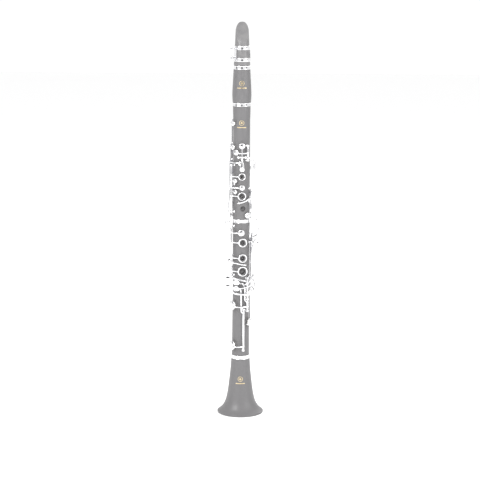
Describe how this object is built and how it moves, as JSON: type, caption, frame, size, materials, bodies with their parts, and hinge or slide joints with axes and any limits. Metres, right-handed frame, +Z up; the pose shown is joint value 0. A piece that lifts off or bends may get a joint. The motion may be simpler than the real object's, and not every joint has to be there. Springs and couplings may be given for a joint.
{
  "type": "clarinet",
  "caption": "Straight black woodwind with a flared bell, silver keywork on hinge rods, finger rings, a barrel and a single-reed mouthpiece with a screw ligature.",
  "frame": {"origin": "centre of the bell's rim, on the plane it stands on", "axes": "+Z up the bore to the tip of the mouthpiece, -Y to the side of the finger holes, +X to the right of someone facing the finger holes"},
  "size_m": [0.0786, 0.0786, 0.668],
  "materials": {
    "ebonite_body": "satin black moulded body with a fine brushed grain",
    "mouthpiece_ebonite": "polished black hard rubber",
    "silver_plate": "polished silver plate",
    "rod_steel": "bright plated posts and rods",
    "cork": "greased sheet cork",
    "cane": "planed cane",
    "pad_skin": "thin skin over felt"
  },
  "bodies": {
    "clarinet_body": {"a_axle": "rod_steel", "barrel": "ebonite_body", "barrel_lower_ring": "silver_plate", "barrel_upper_ring": "silver_plate", "bell": "ebonite_body", "bell_ring": "silver_plate", "bell_tenon_cork": "cork", "e_axle": "rod_steel", "f_axle": "rod_steel", "fsharp_axle": "rod_steel", "gsharp_axle": "rod_steel", "left_lever_axles": "rod_steel", "ligature": "silver_plate", "lower_cross_axle": "rod_steel", "lower_joint": "ebonite_body", "lower_joint_ring": "silver_plate", "lower_ring_axle": "rod_steel", "middle_tenon_cork": "cork", "mouthpiece": "mouthpiece_ebonite", "mouthpiece_cork": "cork", "reed": "cane", "register_axle": "rod_steel", "side_key_axles": "rod_steel", "thumb_rest": "silver_plate", "thumb_ring_axle": "rod_steel", "top_tenon_cork": "cork", "upper_joint": "ebonite_body", "upper_right_axle": "rod_steel", "upper_ring_axle": "rod_steel"},
    "register_key": {"register_key": "silver_plate"},
    "a_key": {"a_key": "silver_plate", "a_pad": "pad_skin"},
    "gsharp_key": {"gsharp_key": "silver_plate"},
    "side_eflat_key": {"side_eflat_key": "silver_plate"},
    "side_fsharp_key": {"side_fsharp_key": "silver_plate"},
    "side_b_key": {"side_b_key": "silver_plate"},
    "side_c_key": {"side_c_key": "silver_plate"},
    "upper_ring_key": {"upper_ring_key": "silver_plate", "upper_vent_pad": "pad_skin"},
    "first_ring_key": {"first_ring_key": "silver_plate"},
    "thumb_ring_key": {"thumb_ring_key": "silver_plate"},
    "upper_cross_key": {"upper_cross_key": "silver_plate"},
    "csharp_key": {"csharp_key": "silver_plate", "csharp_pad": "pad_skin"},
    "lower_ring_key": {"lower_ring_key": "silver_plate", "lower_vent_pad": "pad_skin"},
    "lower_cross_key": {"lower_cross_key": "silver_plate"},
    "e_key": {"e_key": "silver_plate", "e_pad": "pad_skin"},
    "fsharp_key": {"fsharp_key": "silver_plate", "fsharp_pad": "pad_skin"},
    "aflat_key": {"aflat_key": "silver_plate", "aflat_pad": "pad_skin"},
    "f_key": {"f_key": "silver_plate", "f_pad": "pad_skin"},
    "left_f_lever": {"left_f_lever": "silver_plate"},
    "left_e_lever": {"left_e_lever": "silver_plate"},
    "left_fsharp_lever": {"left_fsharp_lever": "silver_plate"},
    "ligature_screw_upper": {"ligature_screw_upper": "silver_plate"},
    "ligature_screw_lower": {"ligature_screw_lower": "silver_plate"}
  },
  "joints": [
    {"name": "register_key_hinge", "type": "hinge", "parent": "clarinet_body", "child": "register_key", "pos_m": [0, 0.0188, 0.462], "axis": [-1, 0, 0], "range_deg": [0, 3.6], "stiffness_Nm_per_rad": 0.02, "springref_deg": -17.19},
    {"name": "a_key_hinge", "type": "hinge", "parent": "clarinet_body", "child": "a_key", "pos_m": [0.00102, -0.01937, 0.444], "axis": [0.9986, 0.0523, 0], "range_deg": [0, 5.4], "stiffness_Nm_per_rad": 0.02, "springref_deg": -17.19},
    {"name": "gsharp_key_hinge", "type": "hinge", "parent": "clarinet_body", "child": "gsharp_key", "pos_m": [0.0107, -0.01472, 0.4507], "axis": [0, 0, 1], "range_deg": [0, 6.5], "stiffness_Nm_per_rad": 0.02, "springref_deg": -17.19},
    {"name": "side_eflat_key_hinge", "type": "hinge", "parent": "clarinet_body", "child": "side_eflat_key", "pos_m": [-0.01935, -0.00135, 0.3657], "axis": [0, 0, -1], "range_deg": [0, 4.9], "stiffness_Nm_per_rad": 0.02, "springref_deg": -17.19},
    {"name": "side_fsharp_key_hinge", "type": "hinge", "parent": "clarinet_body", "child": "side_fsharp_key", "pos_m": [-0.01916, 0.00303, 0.3898], "axis": [0, 0, -1], "range_deg": [0, 4.2], "stiffness_Nm_per_rad": 0.02, "springref_deg": -17.19},
    {"name": "side_b_key_hinge", "type": "hinge", "parent": "clarinet_body", "child": "side_b_key", "pos_m": [-0.01799, 0.00727, 0.4032], "axis": [0, 0, -1], "range_deg": [0, 6], "stiffness_Nm_per_rad": 0.02, "springref_deg": -17.19},
    {"name": "side_c_key_hinge", "type": "hinge", "parent": "clarinet_body", "child": "side_c_key", "pos_m": [-0.01589, 0.01113, 0.4232], "axis": [0, 0, -1], "range_deg": [0, 5.5], "stiffness_Nm_per_rad": 0.02, "springref_deg": -17.19},
    {"name": "upper_ring_key_hinge", "type": "hinge", "parent": "clarinet_body", "child": "upper_ring_key", "pos_m": [-0.01675, -0.0113, 0.37375], "axis": [0, 0, 1], "range_deg": [0, 4.8], "stiffness_Nm_per_rad": 0.02, "springref_deg": -17.19},
    {"name": "first_ring_key_hinge", "type": "hinge", "parent": "clarinet_body", "child": "first_ring_key", "pos_m": [-0.01675, -0.0113, 0.4137], "axis": [0, 0, 1], "range_deg": [0, 4.8], "stiffness_Nm_per_rad": 0.02, "springref_deg": -17.19},
    {"name": "thumb_ring_key_hinge", "type": "hinge", "parent": "clarinet_body", "child": "thumb_ring_key", "pos_m": [0.01466, 0.01145, 0.42], "axis": [0, 0, 1], "range_deg": [0, 5.6], "stiffness_Nm_per_rad": 0.02, "springref_deg": -17.19},
    {"name": "upper_cross_key_hinge", "type": "hinge", "parent": "clarinet_body", "child": "upper_cross_key", "pos_m": [0.01681, -0.00748, 0.3788], "axis": [0, 0, -1], "range_deg": [0, 3.8], "stiffness_Nm_per_rad": 0.02, "springref_deg": -17.19},
    {"name": "csharp_key_hinge", "type": "hinge", "parent": "clarinet_body", "child": "csharp_key", "pos_m": [0.01681, -0.00748, 0.3538], "axis": [0, 0, 1], "range_deg": [0, 9.5], "stiffness_Nm_per_rad": 0.02, "springref_deg": -17.19},
    {"name": "lower_ring_key_hinge", "type": "hinge", "parent": "clarinet_body", "child": "lower_ring_key", "pos_m": [-0.01675, -0.0113, 0.284], "axis": [0, 0, 1], "range_deg": [0, 4.4], "stiffness_Nm_per_rad": 0.02, "springref_deg": -17.19},
    {"name": "lower_cross_key_hinge", "type": "hinge", "parent": "clarinet_body", "child": "lower_cross_key", "pos_m": [-0.01835, 0.00492, 0.264], "axis": [0, 0, 1], "range_deg": [0, 4], "stiffness_Nm_per_rad": 0.02, "springref_deg": -17.19},
    {"name": "e_key_hinge", "type": "hinge", "parent": "clarinet_body", "child": "e_key", "pos_m": [0.00476, -0.01777, 0.148], "axis": [0, 0, -1], "range_deg": [0, 5.2], "stiffness_Nm_per_rad": 0.02, "springref_deg": -17.19},
    {"name": "fsharp_key_hinge", "type": "hinge", "parent": "clarinet_body", "child": "fsharp_key", "pos_m": [0.01107, -0.01469, 0.191], "axis": [0, 0, -1], "range_deg": [0, 4.8], "stiffness_Nm_per_rad": 0.02, "springref_deg": -17.19},
    {"name": "aflat_key_hinge", "type": "hinge", "parent": "clarinet_body", "child": "aflat_key", "pos_m": [0.01107, -0.01469, 0.21925], "axis": [0, 0, -1], "range_deg": [0, 6], "stiffness_Nm_per_rad": 0.02, "springref_deg": -17.19},
    {"name": "f_key_hinge", "type": "hinge", "parent": "clarinet_body", "child": "f_key", "pos_m": [0.01625, 0.00864, 0.1885], "axis": [0, 0, -1], "range_deg": [0, 5.4], "stiffness_Nm_per_rad": 0.02, "springref_deg": -17.19},
    {"name": "left_f_lever_hinge", "type": "hinge", "parent": "clarinet_body", "child": "left_f_lever", "pos_m": [0.01625, 0.00864, 0.2649], "axis": [0, 0, -1], "range_deg": [0, 5.4], "stiffness_Nm_per_rad": 0.02, "springref_deg": -17.19},
    {"name": "left_e_lever_hinge", "type": "hinge", "parent": "clarinet_body", "child": "left_e_lever", "pos_m": [0.01855, 0.0013, 0.275], "axis": [0, 0, -1], "range_deg": [0, 2.5], "stiffness_Nm_per_rad": 0.02, "springref_deg": -17.19},
    {"name": "left_fsharp_lever_hinge", "type": "hinge", "parent": "clarinet_body", "child": "left_fsharp_lever", "pos_m": [0.01748, -0.00636, 0.268], "axis": [0, 0, -1], "range_deg": [0, 2], "stiffness_Nm_per_rad": 0.02, "springref_deg": -17.19},
    {"name": "ligature_screw_upper_turn", "type": "hinge", "parent": "clarinet_body", "child": "ligature_screw_upper", "pos_m": [-0.0172, 0, 0.6246], "axis": [0, -1, 0], "continuous": true},
    {"name": "ligature_screw_lower_turn", "type": "hinge", "parent": "clarinet_body", "child": "ligature_screw_lower", "pos_m": [-0.0172, 0, 0.6086], "axis": [0, -1, 0], "continuous": true}
  ],
  "couplings": [
    {"joint": "upper_ring_key_hinge", "follows": "lower_ring_key_hinge", "ratio": 1},
    {"joint": "left_f_lever_hinge", "follows": "f_key_hinge", "ratio": 1},
    {"joint": "left_e_lever_hinge", "follows": "e_key_hinge", "ratio": 0.47},
    {"joint": "left_fsharp_lever_hinge", "follows": "fsharp_key_hinge", "ratio": 0.41}
  ]
}
